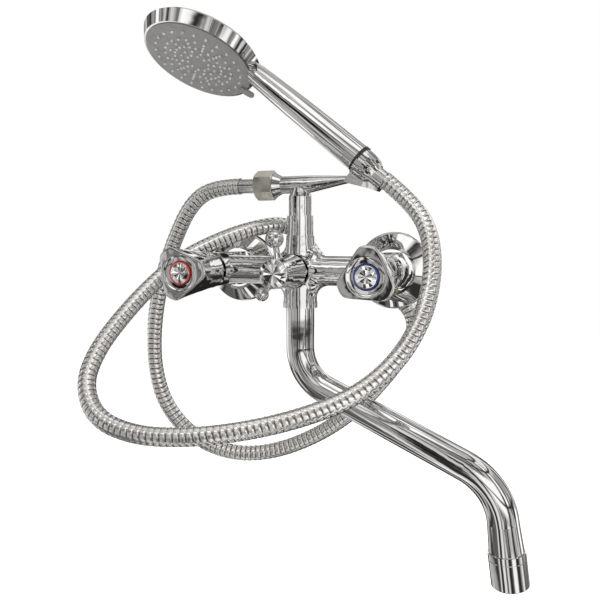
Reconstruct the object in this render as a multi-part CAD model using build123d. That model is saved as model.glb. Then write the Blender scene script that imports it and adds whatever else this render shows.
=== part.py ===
from build123d import *
import math
import os

# Wall-mounted bath and shower mixer with two handles, a front diverter and a hand shower.
# Frame: X to the right, Y into the wall, Z up. The origin lies on the wall plane, midway between the
# two inlet tails. Heights of the body are measured from its own axis, which the eccentrics lift.
# "Out" is a distance from the wall towards the room.

# Inlet eccentrics and unions
inlet_spacing = 150.0
tail_r = 10.48
tail_length = 16.0
tail_bore_r = 7.0
eccentric_lift = 4.0
collar_r = 14.0
collar_back = 2.0
collar_front = 14.0
collar_flats = 25.0
head_thread_r = 13.1
head_length = 10.0
head_bore_r = 9.0
inlet_washer_thick = 2.0
lip_thick = 2.5
union_across = 30.0
union_front = 34.0
union_back_gap = 0.5

# Wall flanges
flange_r = 32.5
flange_band = 7.5
flange_depth = 17.0
flange_wall = 1.2
flange_nose = 2.4
flange_hole_gap = 0.7
cold_flange_out = 18.0

# Body casting
body_out = 50.0
arm_r = 12.3
waist_r = 13.6
shoulder_r = 11.9
shoulder_up = 29.5
neck_r = 14.3
neck_down = 27.0
cross_blend_r = 12.0
tail_neck_r = 10.2
tail_neck_bore_r = 6.5
channel_r = 5.5
end_boss_r = 15.0
end_boss_back = 36.0
end_boss_round_r = 4.0
boss_front = 70.0
diverter_boss_r = 14.5

# Headworks of the two valves and gland of the diverter
gland_thread_r = 10.5
gland_thread_length = 12.0
gland_hex_across = 22.0
gland_hex_thick = 4.5
gland_neck_r = 7.5
valve_neck_length = 16.0
diverter_neck_length = 12.0
seat_out = 44.0
seal_r = 9.0
seal_bore_r = 5.8
seal_thick = 2.0
cage_r = 9.2
cage_bore_r = 7.6
cage_window_width = 7.0
cage_window_height = 4.0
disc_thick = 3.2
disc_hub_r = 1.6
disc_port_r = 5.8
disc_port_turn = 76.0
spindle_r = 4.0
spindle_flange_thick = 2.5
spline_teeth = 16
spline_depth = 0.5
spline_length = 12.0

# Tap handles
handle_back = 76.0
handle_front = 122.0
handle_skirt_r = 16.0
handle_waist_r = 17.6
handle_waist_out = 99.0
handle_flat_r = 16.4
handle_corner_r = 22.5
handle_wall = 2.4
handle_cavity_length = 18.0
handle_bevel = 2.8
dish_r = 14.2
dish_depth = 1.6
index_ring_r = 9.2
index_ring_width = 1.3
index_ring_thick = 3.6
index_ring_rise = 1.0
jewel_rise = 2.4
jewel_facets = 8
jewel_table_r = 4.0
hot_handle_turn = 8.0
cold_handle_turn = -33.0

# Screws of the handles and of the lever hub
screw_r = 2.0
screw_length = 10.0
screw_head_r = 3.6
screw_head_thick = 2.6
screw_slot = 0.9
hub_web = 2.0

# Front diverter
rotor_r = 9.5
rotor_back = 40.0
rotor_plate = 2.2
rotor_core_r = 4.5
rotor_wall_turn = 80.0
lever_hub_back = 76.0
lever_hub_front = 108.0
lever_hub_skirt_r = 14.4
lever_hub_waist_r = 12.1
lever_hub_nose_r = 11.4
lever_hub_wall = 2.2
lever_hub_cavity = 13.0
lever_out = 95.0
lever_stem_r = 2.5
lever_root_r = 6.5
lever_foot_r = 4.0
lever_foot_at = 11.4
lever_foot_length = 4.5
long_ball_r = 7.4
long_reach = 27.2
long_angle = 101.0
short_ball_r = 5.5
short_reach = 23.6
short_angle = 227.0
cap_r = 11.7
cap_thick = 5.0
cap_facets = 12
cap_table_r = 8.6
cap_bevel_height = 1.8

# Swivel spout
spout_r = 12.0
spout_wall = 1.3
spigot_r = 10.6
spigot_wall = 2.7
spigot_length = 19.4
ring_nut_r = 14.6
ring_nut_band = 4.5
ring_nut_thread_r = 12.4
ring_nut_thread_length = 6.0
slip_ring_r = 11.9
slip_ring_thick = 1.9
slip_groove_depth = 1.0
o_ring_wire_r = 0.9
o_ring_squeeze = 0.05
upper_o_ring_depth = 2.0
lower_o_ring_depth = 4.6
spout_drop = 91.7
spout_slope = 21.6
spout_reach = 168.0
spout_tip_lean = 8.1
spout_tip_length = 51.5
spout_top_bend_r = 38.0
spout_low_bend_r = 48.0
spout_turn = -6.6
tip_r = 13.2
tip_flare = 22.0
aerator_r = 14.2
aerator_length = 26.5
aerator_thread_r = 12.4
aerator_thread_length = 8.0
aerator_washer_thick = 1.2
aerator_insert_r = 11.5
aerator_lip = 1.4
aerator_groove = 0.8
aerator_groove_at = 5.0
aerator_plate = 2.0
aerator_hole_r = 1.5
aerator_hole_ring = 6.5
aerator_holes = 8

# Upper outlet, bar and cradle
riser_tail_r = 8.4
riser_tail_length = 12.0
riser_collar_r = 11.1
riser_collar_length = 16.5
riser_r = 9.7
riser_taper_length = 10.1
riser_top_r = 5.5
riser_bore_r = 5.0
bar_up = 72.1
bar_r = 7.2
bar_taper_start = 16.0
bar_shoulder = 22.2
bar_shoulder_r = 10.4
bar_thread_r = 9.4
bar_thread_length = 7.5
bar_right_start = 8.0
bar_right = 41.5
bar_tip_half_height = 3.0
bar_tip_half_width = 5.5
bar_tip_rise = 2.9
cradle_gap = 0.4
cradle_wall = 2.8
cradle_length = 27.0
cradle_foot = 20.5
cradle_toe = 13.5
cradle_toe_at = 18.1
cradle_rib = 12.0

# Hose and its fittings
hose_r = 7.0
hose_bore_r = 4.4
hose_nut_across = 22.0
hose_nut_length = 16.5
ferrule_r = 6.2
ferrule_bore_r = 4.4
outlet_ferrule_length = 15.8
ferrule_flange_r = 8.2
ferrule_flange = 2.0
hose_washer_thick = 1.6
hose_washer_bore_r = 5.0
hose_lead = 27.0
bend_share = 0.45
rib_pitch = 7.0
rib_groove = 0.6
rib_land = 0.7

# Hand shower
grip_beyond = 10.8
grip_rise = 17.7
grip_climb = 39.3
cone_nut_r = 11.0
cone_nut_foot_r = 7.2
cone_nut_length = 17.2
cone_nut_steps = 6
cone_thread_r = 8.4
cone_thread_length = 7.0
cone_ferrule_length = 8.0
grip_r = 11.4
grip_middle_r = 10.8
grip_neck_r = 9.2
grip_neck_at = 116.0
grip_end_at = 156.0
grip_bore_r = 6.0
grip_bore_end = 126.0
grip_ring_r = 11.8
grip_ring_thick = 2.8
head_spin = 64.2
head_tilt = 25.3
head_at = 176.1
head_behind = 26.9
face_r = 46.7
face_thick = 3.0
face_recess = 0.8
face_hub_r = 4.0
face_hub_length = 6.0
head_lip = 1.6
head_wall = 5.5
head_rim_depth = 10.5
head_depth = 22.0
head_crown_r = 24.0
head_edge_round_r = 3.0
chamber_depth = 11.0
nozzle_r = 1.0
nozzle_rise = 1.3
nozzle_ring_radii = (9.7, 15.0, 20.8, 25.0, 29.4, 38.0)
nozzle_ring_counts = (10, 12, 24, 12, 24, 24)
nozzle_ring_turn = 8.0
nozzle_mat_edge = 4.7
nozzle_mat_thick = 1.2
tab_angle = -33.0
tab_reach = 9.0
tab_width = 8.0
tab_thick = 1.8
tab_root = 5.0

# Clearances
running_gap = 0.05
thread_gap = 0.1
free_gap = 0.3

# Sizes that follow from the ones above
half_spacing = inlet_spacing / 2
washer_back = collar_front + head_length
lip_back = washer_back + inlet_washer_thick
lip_front = lip_back + lip_thick
union_bore_r = head_thread_r + thread_gap
union_corner_r = union_across / math.sqrt(3)
gland_bore_r = gland_thread_r + thread_gap
gland_back = boss_front - gland_thread_length
gland_hex_front = boss_front + gland_hex_thick
disc_r = cage_bore_r - free_gap
fixed_disc_back = seat_out + seal_thick
moving_disc_back = fixed_disc_back + disc_thick
spindle_flange_back = moving_disc_back + disc_thick
spindle_flange_front = spindle_flange_back + spindle_flange_thick
dish_floor = handle_front - dish_depth
index_pocket = dish_floor + index_ring_rise - index_ring_thick
handle_screw_seat = index_pocket - screw_head_thick - free_gap
handle_spindle_front = handle_screw_seat - hub_web
lever_screw_seat = lever_hub_front - screw_head_thick - free_gap
lever_spindle_front = lever_screw_seat - hub_web
rotor_front = gland_back - free_gap
rib_root_r = hose_r - rib_groove
rib_slope = (rib_root_r ** 2 + rib_root_r * hose_r + hose_r ** 2) / 3
rib_section = math.pi * (rib_land * hose_r ** 2 + (1 - rib_land) * rib_slope - hose_bore_r ** 2)
spout_top = neck_down + ring_nut_band + free_gap
spigot_top = spout_top - spigot_length
ring_nut_top = neck_down - ring_nut_thread_length
slip_chamber_top = ring_nut_top - slip_ring_thick - 2 * free_gap
spigot_bore_top = spigot_top - 3 * free_gap
spigot_bore_r = spigot_r + thread_gap
riser_tail_foot = shoulder_up - riser_tail_length
riser_collar_up = shoulder_up + riser_collar_length
riser_shoulder_up = bar_up - riser_taper_length
bar_thread_end = bar_shoulder + bar_thread_length
outlet_flange_start = bar_thread_end + hose_washer_thick
hose_nut_start = bar_shoulder + free_gap
hose_nut_end = hose_nut_start + hose_nut_length
outlet_end = hose_nut_end + outlet_ferrule_length
cone_flange_start = cone_thread_length + hose_washer_thick
cone_end = cone_nut_length + cone_ferrule_length
chamber_r = face_r + free_gap
head_lip_r = chamber_r + head_lip
head_r = chamber_r + head_wall
nozzle_mat_r = face_r - nozzle_mat_edge
grip_lean = math.radians(grip_climb)
grip_axis = Vector(-math.cos(grip_lean), 0, math.sin(grip_lean))
grip_point = Vector(bar_right + grip_beyond, -body_out, eccentric_lift + bar_up + grip_rise)

# Free route of the hose, from the outlet ferrule round behind the body to the hand shower's ferrule
rear_route = [
    (-111, -48, 59),
    (-131, -45, 27),
    (-144, -45, -9),
    (-150, -46, -50),
    (-149, -47, -92),
    (-137, -47, -128),
    (-110, -44, -156),
    (-74, -38, -170),
    (-36, -29, -167),
    (2, -22, -151),
    (36, -18, -127),
    (62, -17, -98),
    (80, -15.5, -70),
    (88, -13, -51),
    (85.8, -10.2, -34.7),
    (75.7, -8.3, -21.6),
    (60.6, -9.2, -14.6),
    (37, -9.5, -4.6),
    (13.4, -10.2, 0.9),
    (-2.5, -11.4, 18.3),
    (-10.6, -19.5, 36.4),
]
front_route = [
    (-25.3, -30.3, 44.2),
    (-50, -46, 39),
    (-79, -55, 27.7),
    (-105, -68, 13),
    (-121, -94, -10),
    (-131, -123, -35),
    (-136, -149, -59),
    (-132, -168.5, -81),
    (-111, -181, -101),
    (-78, -182, -109),
    (-42, -175, -109),
    (-4, -164, -104),
    (34, -149, -95),
    (70, -132, -81),
    (97, -113, -57),
    (112, -94, -26),
]
handset_route = [
    (116, -78, 7),
    (110, -62, 38),
]


def at_inlet(x):
    """Place a piece whose own Z runs out from the wall, at the height of the body's axis."""
    return Location((x, 0, eccentric_lift), (90, 0, 0))


def at_column():
    """Place a piece whose own Z is the column's axis."""
    return Location((0, -body_out, eccentric_lift))


def at_outlet():
    """Place a piece whose own Z runs to the left along the bar, from the column's axis."""
    return Location((0, -body_out, eccentric_lift + bar_up), (0, -90, 0))


def at_grip():
    """Place a piece whose own Z runs up the hand shower's handle, with X on the side of its face."""
    room = Vector(0, -1, 0)
    below = grip_axis.cross(room) * -1
    spin = math.radians(head_spin)
    side = room * math.cos(spin) + below * math.sin(spin)
    return Plane(grip_point, x_dir=side, z_dir=grip_axis).location


def at_face():
    """Place a piece whose own Z points the way the water leaves, with X towards the handle."""
    tilt = math.radians(head_tilt)
    normal = Vector(math.cos(tilt), 0, -math.sin(tilt))
    centre = Vector(0, 0, head_at) + normal * head_behind
    towards_grip = Vector(-math.sin(tilt), 0, -math.cos(tilt))
    return at_grip() * Plane(centre, x_dir=towards_grip, z_dir=normal).location


def turned(points, angle=360):
    """Solid of revolution about Z from (radius, height) points."""
    outline = make_face(Polyline([(r, 0, h) for r, h in points], close=True))
    return revolve(outline, Axis.Z, angle)


def tube(outer_r, inner_r, low, high):
    """Straight round tube along Z between two heights."""
    return turned([(inner_r, low), (outer_r, low), (outer_r, high), (inner_r, high)])


def rod(r, low, high):
    """Straight round bar along Z between two heights."""
    return turned([(0, low), (r, low), (r, high), (0, high)])


def hexagon(across, low, high):
    """Hexagonal prism along Z whose corners are turned down at both ends."""
    corner = across / math.sqrt(3)
    drop = (corner - across / 2) / 2
    prism = Pos(0, 0, low) * extrude(RegularPolygon(corner, 6), high - low)
    limit = turned([
        (0, low), (across / 2, low), (corner, low + drop),
        (corner, high - drop), (across / 2, high), (0, high),
    ])
    return prism & limit


def splined(r, low, high):
    """Splined shaft end along Z."""
    points = []
    for i in range(2 * spline_teeth):
        reach = r if i % 2 else r - spline_depth
        angle = math.pi * i / spline_teeth
        points.append((reach * math.cos(angle), reach * math.sin(angle)))
    return Pos(0, 0, low) * extrude(make_face(Polyline(points, close=True)), high - low)


def edges_at(shape, height):
    """Edges of a shape that lie flat at one height on Z."""
    return shape.edges().filter_by_position(Axis.Z, height - 0.01, height + 0.01)


def save(name, shape):
    """Write one node."""
    solids = shape.solids()
    export_step(solids[0] if len(solids) == 1 else shape, f"parts/{name}.step")


def make_eccentric():
    """S-shaped inlet: wall thread below the body's axis, collar with key flats and union thread on it."""
    tail = Pos(0, -eccentric_lift, 0) * rod(tail_r, -tail_length, collar_back)
    flats = Pos(0, 0, collar_front / 2) * Box(collar_flats, 2 * collar_r, collar_front)
    collar = rod(collar_r, collar_back, collar_front) & flats
    head = rod(head_thread_r, collar_front, washer_back)
    head_bore = rod(head_bore_r, collar_back, washer_back + 1)
    tail_bore = Pos(0, -eccentric_lift, 0) * rod(tail_bore_r, -tail_length - 1, collar_front)
    return tail + collar + head - head_bore - tail_bore


def make_union_nut():
    """Hexagonal nut that draws the body's lip against the eccentric."""
    back = collar_front + union_back_gap
    nut = hexagon(union_across, back, union_front)
    nut -= rod(union_bore_r, back - 1, lip_front)
    return nut - rod(tail_neck_r + free_gap, back, union_front + 1)


def make_flange():
    """Cup that hides the hole in the wall and slides on the eccentric."""
    hole_r = union_corner_r + flange_hole_gap
    nose_r = hole_r + flange_nose
    cup = turned([(0, 0), (flange_r, 0), (flange_r, flange_band), (nose_r, flange_depth), (0, flange_depth)])
    cup = fillet(edges_at(cup, flange_band), flange_band / 2)
    inner_r = flange_r - flange_wall
    inner_top = flange_depth - flange_wall
    inner_band = flange_band - flange_wall / 2
    hollow = turned([
        (0, -1), (inner_r, -1), (inner_r, inner_band),
        (nose_r - flange_wall / 2, inner_top), (0, inner_top),
    ])
    hollow = fillet(edges_at(hollow, inner_band), flange_band / 2 - flange_wall)
    return cup - hollow - rod(hole_r, 0, flange_depth + 1)


def make_body():
    """One casting: column, arms with large blends, valve bosses, union tails and diverter boss."""
    column = turned([
        (0, -neck_down), (neck_r, -neck_down), (waist_r, 0), (shoulder_r, shoulder_up), (0, shoulder_up),
    ])
    cross = column + Rot(0, 90, 0) * Cylinder(arm_r, inlet_spacing)
    seams = [e for e in cross.edges() if e.geom_type not in (GeomType.LINE, GeomType.CIRCLE)]
    body = at_column() * fillet(seams, cross_blend_r)
    for x in (-half_spacing, half_spacing):
        boss = rod(end_boss_r, end_boss_back, boss_front)
        boss = fillet(edges_at(boss, end_boss_back), end_boss_round_r)
        neck = rod(tail_neck_r, lip_front, end_boss_back + end_boss_round_r)
        lip = rod(head_thread_r - free_gap, lip_back, lip_front)
        body += at_inlet(x) * (boss + neck + lip)
    body += at_inlet(0) * rod(diverter_boss_r, body_out, boss_front)
    body -= at_column() * Rot(0, 90, 0) * Cylinder(channel_r, inlet_spacing)
    for x in (-half_spacing, half_spacing):
        body -= at_inlet(x) * rod(tail_neck_bore_r, lip_back - 1, seat_out + 1)
        body -= at_inlet(x) * rod(gland_bore_r, seat_out, boss_front + 1)
    body -= at_inlet(0) * rod(rotor_r + running_gap, rotor_back - free_gap, gland_back + 1)
    body -= at_inlet(0) * rod(gland_bore_r, gland_back, boss_front + 1)
    body -= at_column() * rod(channel_r, -spigot_bore_top - 1, riser_tail_foot + 1)
    body -= at_column() * rod(riser_tail_r + thread_gap, riser_tail_foot, shoulder_up + 1)
    body -= at_column() * rod(spigot_bore_r, -slip_chamber_top - 1, -spigot_bore_top)
    return body - at_column() * rod(ring_nut_thread_r + thread_gap, -neck_down - 1, -slip_chamber_top)


def make_gland(neck_length, shaft_start):
    """Threaded gland with a hexagon and a neck round its spindle."""
    neck_front = gland_hex_front + neck_length
    gland = rod(gland_thread_r, gland_back, boss_front)
    gland += hexagon(gland_hex_across, boss_front, gland_hex_front)
    gland += rod(gland_neck_r, gland_hex_front, neck_front)
    return gland - rod(spindle_r + running_gap, shaft_start - 1, neck_front + 1)


def make_headwork():
    """Valve headwork: its gland carries a windowed cage that holds the two ceramic discs."""
    work = make_gland(valve_neck_length, gland_back) + rod(cage_r, fixed_disc_back, gland_back)
    work -= rod(spindle_r + running_gap, spindle_flange_front, boss_front)
    work -= rod(cage_bore_r, fixed_disc_back - 1, spindle_flange_front + running_gap)
    window = Box(3 * cage_r, cage_window_width, cage_window_height)
    return work - Pos(0, 0, moving_disc_back + disc_thick / 2) * window


def sector(low, high, middle, turn):
    """Sector-shaped water port between two heights, centred on one direction."""
    outline = [(disc_hub_r, low), (disc_port_r, low), (disc_port_r, high), (disc_hub_r, high)]
    return Rot(0, 0, middle - turn / 2) * turned(outline, turn)


def make_disc(r, back):
    """Ceramic disc with two opposite ports."""
    disc = rod(r, back, back + disc_thick)
    for middle in (0, 180):
        disc -= sector(back - 1, back + disc_thick + 1, middle, disc_port_turn)
    return disc


def make_spindle(plain_start, front):
    """Shaft with a splined end and a tapped hole for its screw."""
    shaft = rod(spindle_r, plain_start, front - spline_length)
    shaft += splined(spindle_r, front - spline_length, front)
    return shaft - rod(screw_r + thread_gap, front - screw_length, front + 1)


def spindle_socket(cavity_end, spindle_front, screw_seat, open_end):
    """Hole that a handle or hub has for a spindle, its screw and the screw's head."""
    spline_start = spindle_front - spline_length
    socket = rod(spindle_r + running_gap, cavity_end - 1, spline_start)
    socket += splined(spindle_r + running_gap, spline_start - 1, spindle_front + running_gap)
    socket += rod(screw_r + thread_gap, spindle_front, screw_seat + 1)
    return socket + rod(screw_head_r + free_gap, screw_seat, open_end)


def make_screw(seat):
    """Slotted screw whose head sits at one height and whose shank runs back into the spindle."""
    screw = rod(screw_head_r, seat, seat + screw_head_thick) + rod(screw_r, seat - screw_length, seat)
    slot = Box(3 * screw_head_r, screw_slot, screw_head_thick)
    return screw - Pos(0, 0, seat + screw_head_thick) * slot


def make_handle():
    """Three-lobed handle that flares from a round skirt to a triangle with rounded corners."""
    flare = ThreePointArc(
        (handle_skirt_r, 0, handle_back), (handle_waist_r, 0, handle_waist_out),
        (handle_corner_r, 0, handle_front),
    )
    rest = Polyline(
        (handle_corner_r, 0, handle_front), (0, 0, handle_front), (0, 0, handle_back),
        (handle_skirt_r, 0, handle_back),
    )
    lobes = revolve(make_face(flare + rest), Axis.Z)
    triangle = RegularPolygon(handle_flat_r, 3, major_radius=False)
    handle = lobes & Pos(0, 0, handle_back) * extrude(triangle, handle_front - handle_back)
    handle = chamfer(edges_at(handle, handle_front), handle_bevel)
    cavity_end = handle_back + handle_cavity_length
    handle -= rod(handle_skirt_r - handle_wall, handle_back - 1, cavity_end)
    handle -= rod(dish_r, dish_floor, handle_front + 1)
    handle -= rod(index_ring_r + running_gap, index_pocket, handle_front)
    return handle - spindle_socket(cavity_end, handle_spindle_front, handle_screw_seat, index_pocket + 1)


def make_index_ring():
    """Coloured ring that shows hot or cold."""
    return tube(index_ring_r, index_ring_r - index_ring_width, index_pocket, index_pocket + index_ring_thick)


def make_jewel():
    """Clear faceted button inside the index ring."""
    girdle_r = index_ring_r - index_ring_width - running_gap
    girdle = dish_floor + index_ring_rise / 2
    crown = Pos(0, 0, girdle) * RegularPolygon(girdle_r, jewel_facets)
    table = Pos(0, 0, dish_floor + jewel_rise) * RegularPolygon(jewel_table_r, jewel_facets)
    return rod(girdle_r, index_pocket, girdle) + loft([crown, table])


def make_rotor():
    """Plug of the diverter: two plates, a core and one wall that shuts the outlet it faces."""
    core = rod(rotor_core_r, rotor_back, rotor_front)
    plates = rod(rotor_r, rotor_back, rotor_back + rotor_plate)
    plates += rod(rotor_r, rotor_front - rotor_plate, rotor_front)
    wall_outline = [(0, rotor_back), (rotor_r, rotor_back), (rotor_r, rotor_front), (0, rotor_front)]
    wall = Rot(0, 0, -90 - rotor_wall_turn / 2) * turned(wall_outline, rotor_wall_turn)
    return core + plates + wall + make_spindle(rotor_front, lever_spindle_front)


def at_lever(angle):
    """Place a lever on the hub, whose own Z is the direction that the lever points in."""
    return Pos(0, 0, lever_out) * Rot(0, 0, angle) * Rot(0, 90, 0)


def make_lever(reach, ball_r):
    """Stem with a flared foot and a ball."""
    outline = [
        (0, lever_root_r), (lever_stem_r, lever_root_r), (lever_stem_r, lever_foot_at),
        (lever_foot_r, lever_foot_at), (lever_stem_r, lever_foot_at + lever_foot_length),
        (lever_stem_r, reach), (0, reach),
    ]
    return turned(outline) + Pos(0, 0, reach) * Sphere(ball_r)


def make_lever_hub():
    """Hub that narrows from a round skirt to its nose and carries both levers."""
    side = ThreePointArc(
        (lever_hub_skirt_r, 0, lever_hub_back), (lever_hub_waist_r, 0, lever_out),
        (lever_hub_nose_r, 0, lever_hub_front),
    )
    rest = Polyline(
        (lever_hub_nose_r, 0, lever_hub_front), (0, 0, lever_hub_front), (0, 0, lever_hub_back),
        (lever_hub_skirt_r, 0, lever_hub_back),
    )
    hub = revolve(make_face(side + rest), Axis.Z)
    cavity_end = lever_hub_back + lever_hub_cavity
    hub -= rod(lever_hub_skirt_r - lever_hub_wall, lever_hub_back - 1, cavity_end)
    hub -= spindle_socket(cavity_end, lever_spindle_front, lever_screw_seat, lever_hub_front + 1)
    for angle in (long_angle, short_angle):
        hub -= at_lever(angle) * rod(lever_stem_r + running_gap, lever_root_r, lever_hub_skirt_r)
        hub -= at_lever(angle) * rod(lever_foot_r + running_gap, lever_foot_at, 2 * lever_hub_skirt_r)
    return hub


def make_cap():
    """Faceted cap on the nose of the lever hub."""
    flank = lever_hub_front + cap_thick - cap_bevel_height
    outline = RegularPolygon(cap_r, cap_facets)
    base = Pos(0, 0, lever_hub_front) * extrude(outline, cap_thick - cap_bevel_height)
    rim = Pos(0, 0, flank) * RegularPolygon(cap_r, cap_facets)
    table = Pos(0, 0, lever_hub_front + cap_thick) * RegularPolygon(cap_table_r, cap_facets)
    return base + loft([rim, table])


def make_ring_nut():
    """Nut that screws up into the body's neck and holds the spout's slip ring."""
    band = rod(ring_nut_r, -neck_down - ring_nut_band, -neck_down)
    thread = rod(ring_nut_thread_r, -neck_down, -ring_nut_top)
    return band + thread - rod(spigot_r + running_gap, -spout_top, -ring_nut_top + 1)


def make_slip_ring():
    """Ring in the spigot's groove that carries the spout on the ring nut."""
    low = -ring_nut_top + running_gap
    return tube(slip_ring_r, spigot_r - slip_groove_depth, low, low + slip_ring_thick)


def make_o_ring(depth):
    """Rubber ring in a groove of the spigot."""
    ring_r = spigot_r + o_ring_squeeze - o_ring_wire_r
    return Pos(0, 0, -spigot_top - depth) * Torus(ring_r, o_ring_wire_r)


def spout_path():
    """Centre line of the spout below its spigot: down, along and down again."""
    slope = math.radians(spout_slope)
    lean = math.radians(spout_tip_lean)
    start = Vector(0, 0, -spout_top)
    corner = Vector(0, 0, -spout_drop)
    far = Vector(spout_reach, 0, -spout_drop - spout_reach * math.tan(slope))
    end = far + Vector(math.sin(lean), 0, -math.cos(lean)) * spout_tip_length
    return FilletPolyline(start, corner, far, end, radius=[spout_top_bend_r, spout_low_bend_r])


def at_tip():
    """Place a piece whose own Z runs down the end of the spout, from the foot of its flare."""
    path = spout_path()
    end = path @ 1
    return Rot(0, 0, spout_turn) * Plane(end, x_dir=(0, 1, 0), z_dir=path % 1).location


def make_spout():
    """Bent tube with a grooved spigot at the top and a flared, threaded tip."""
    bore_r = spout_r - spout_wall
    section = Circle(spout_r) - Circle(bore_r)
    bent = sweep(Plane((0, 0, -spout_top), z_dir=(0, 0, -1)) * section, spout_path())
    spigot = tube(spigot_r, spigot_r - spigot_wall, -spout_top - spout_wall, -spigot_top)
    for depth in (upper_o_ring_depth, lower_o_ring_depth):
        middle = -spigot_top - depth
        floor_r = spigot_r + o_ring_squeeze - 2 * o_ring_wire_r
        spigot -= tube(spigot_r + 1, floor_r, middle - o_ring_wire_r, middle + o_ring_wire_r)
    low = -ring_nut_top
    spigot -= tube(spigot_r + 1, spigot_r - slip_groove_depth, low, low + slip_ring_thick + 2 * running_gap)
    shoulder = tube(spout_r, spigot_r - spigot_wall, -spout_top - spout_wall, -spout_top)
    flare = turned([(bore_r, -tip_flare), (spout_r, -tip_flare), (tip_r, 0), (bore_r, 0)])
    thread = tube(aerator_thread_r, bore_r, 0, aerator_thread_length)
    return Rot(0, 0, spout_turn) * (bent + spigot + shoulder) + at_tip() * (flare + thread)


def make_aerator_housing():
    """Heavy round housing that screws on the spout's tip."""
    seat = aerator_thread_length + aerator_washer_thick
    housing = rod(aerator_r, running_gap, aerator_length)
    housing -= rod(aerator_thread_r + thread_gap, 0, seat)
    housing -= rod(aerator_insert_r + thread_gap, 0, aerator_length - aerator_lip)
    housing -= rod(aerator_insert_r - aerator_lip, 0, aerator_length + 1)
    groove_top = aerator_groove_at + aerator_groove
    housing -= tube(aerator_r + 1, aerator_r - aerator_groove / 2, aerator_groove_at, groove_top)
    return chamfer(edges_at(housing, aerator_length).sort_by(SortBy.LENGTH)[-1], aerator_groove)


def make_aerator_insert():
    """Cartridge with a ring of water holes in its lower plate."""
    top = aerator_thread_length + aerator_washer_thick
    low = aerator_length - aerator_lip
    insert = tube(aerator_insert_r, aerator_insert_r - aerator_lip, top, low)
    insert += rod(aerator_insert_r, low - aerator_plate, low)
    for i in range(aerator_holes):
        place = Rot(0, 0, 360 * i / aerator_holes) * Pos(aerator_hole_ring, 0, 0)
        insert -= place * rod(aerator_hole_r, low - aerator_plate - 1, low + 1)
    return insert - rod(aerator_hole_r, low - aerator_plate - 1, low + 1)


def cone_outline(extra):
    """Domed outside of the hand shower's cone nut, grown by one distance, as (radius, height) points."""
    points = []
    for i in range(cone_nut_steps + 1):
        share = i / cone_nut_steps
        swell = (cone_nut_r - cone_nut_foot_r) * math.sqrt(1 - share ** 2)
        points.append((cone_nut_foot_r + swell + extra, -cone_nut_length * share))
    return points


def at_cradle():
    """Place a piece on the handle's axis, with its own Y on the upper side of the handle."""
    return Plane(grip_point, x_dir=(0, -1, 0), z_dir=grip_axis).location


def make_cradle():
    """Riser with its bar: threaded outlet to the left, open cone-shaped cradle to the right."""
    riser = turned([
        (0, riser_tail_foot), (riser_tail_r, riser_tail_foot), (riser_tail_r, shoulder_up),
        (riser_collar_r, shoulder_up), (riser_collar_r, riser_collar_up), (riser_r, riser_collar_up),
        (riser_r, riser_shoulder_up), (riser_top_r, bar_up), (0, bar_up),
    ])
    left = turned([
        (0, -bar_right_start), (bar_r, -bar_right_start), (bar_r, bar_taper_start),
        (bar_shoulder_r, bar_shoulder), (bar_thread_r, bar_shoulder), (bar_thread_r, bar_thread_end),
        (0, bar_thread_end),
    ])
    root = Plane((bar_right_start, -body_out, eccentric_lift + bar_up), x_dir=(0, 1, 0), z_dir=(1, 0, 0))
    tip_up = eccentric_lift + bar_up + bar_tip_rise
    tip = Plane((bar_right, -body_out, tip_up), x_dir=(0, 1, 0), z_dir=(1, 0, 0))
    right = loft([root * Circle(bar_r), tip * Ellipse(bar_tip_half_width, bar_tip_half_height)])
    inner = cone_outline(cradle_gap)
    inner.append((cone_nut_foot_r + cradle_gap, -cradle_length))
    outer = [(r + cradle_wall, h) for r, h in reversed(inner)]
    trough = Rot(0, 0, 180) * turned(inner + outer, 180)
    gusset_points = [
        (0, 0), (-cradle_foot, 0), (-cradle_foot, -cradle_wall), (-cradle_toe, -cradle_toe_at),
        (-cone_nut_foot_r - cradle_gap - cradle_wall, -cradle_length), (0, -cradle_length),
    ]
    side = make_face(Polyline([(0, y, z) for y, z in gusset_points], close=True))
    gusset = extrude(side, cradle_rib / 2, both=True)
    solid = at_column() * riser + at_outlet() * left + right + at_cradle() * (trough + gusset)
    opening = [(0, 1), (cone_nut_r + cradle_gap, 1)] + inner
    opening += [(cone_nut_foot_r + cradle_gap, -cradle_length - 1), (0, -cradle_length - 1)]
    solid -= at_cradle() * turned(opening)
    solid -= at_column() * rod(riser_bore_r, riser_tail_foot - 1, bar_up)
    return solid - at_outlet() * rod(riser_bore_r, 0, bar_thread_end + 1)


def make_hose_nut():
    """Hexagonal nut that holds the hose's outlet ferrule on the bar's thread."""
    flange_end = outlet_flange_start + ferrule_flange
    nut = hexagon(hose_nut_across, hose_nut_start, hose_nut_end)
    nut -= rod(bar_thread_r + thread_gap, hose_nut_start - 1, flange_end)
    return nut - rod(ferrule_r + thread_gap, hose_nut_start, hose_nut_end + 1)


def make_ferrule(flange_start, end):
    """Crimped sleeve of the hose with the flange that its nut holds."""
    flange = tube(ferrule_flange_r, ferrule_bore_r, flange_start, flange_start + ferrule_flange)
    return flange + tube(ferrule_r, ferrule_bore_r, flange_start + ferrule_flange, end)


def make_hose_washer(start):
    """Flat rubber washer at the end of the hose."""
    return tube(ferrule_flange_r, hose_washer_bore_r, start, start + hose_washer_thick)


def make_cone_nut():
    """Domed conical nut of the hose under the hand shower, with a round hole for its ferrule."""
    outline = cone_outline(0)
    flange_end = -cone_flange_start - ferrule_flange - running_gap
    nut = turned(outline + [(0, -cone_nut_length), (0, 0)])
    nut -= rod(cone_thread_r + thread_gap, flange_end, 1)
    return nut - rod(ferrule_r + running_gap, -cone_nut_length - 1, 0)


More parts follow.
